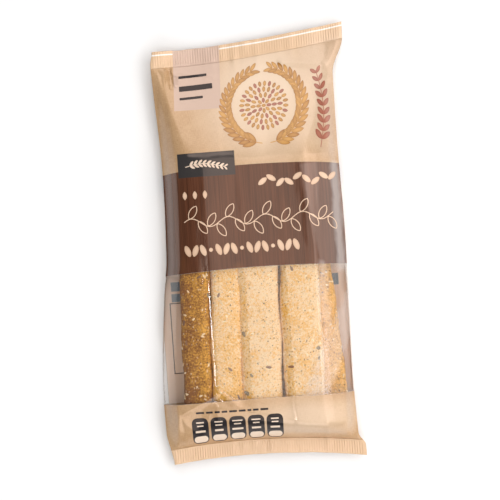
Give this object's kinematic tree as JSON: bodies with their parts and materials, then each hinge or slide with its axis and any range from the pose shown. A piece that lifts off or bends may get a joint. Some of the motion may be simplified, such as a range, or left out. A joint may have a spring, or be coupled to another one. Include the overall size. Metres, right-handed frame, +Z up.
{
  "type": "pack of grissini breadsticks",
  "caption": "Sealed flow-wrapped bag of thick seeded breadsticks, printed at both ends, with a clear window over the sticks",
  "frame": {"origin": "on the table, under the middle of the bag", "axes": "+Y runs along the bag towards its top seal, +Z points up out of the printed front, +X runs across the bag to its right seen from the front"},
  "size_m": [0.1226, 0.262, 0.0283],
  "materials": {
    "printed_film": "glossy printed wrapping film, kraft tan with a dark brown band",
    "clear_film": "clear glossy wrapping film",
    "bread": "dry baked crust, fine crumb pores, golden brown",
    "seed": "sesame, flax and poppy seeds"
  },
  "bodies": {
    "root": {"film_bag": "printed_film", "window_film": "clear_film", "stick_upper_1": "bread", "stick_upper_2": "bread", "stick_upper_3": "bread", "stick_upper_4": "bread", "stick_lower_4": "bread"}
  },
  "joints": []
}
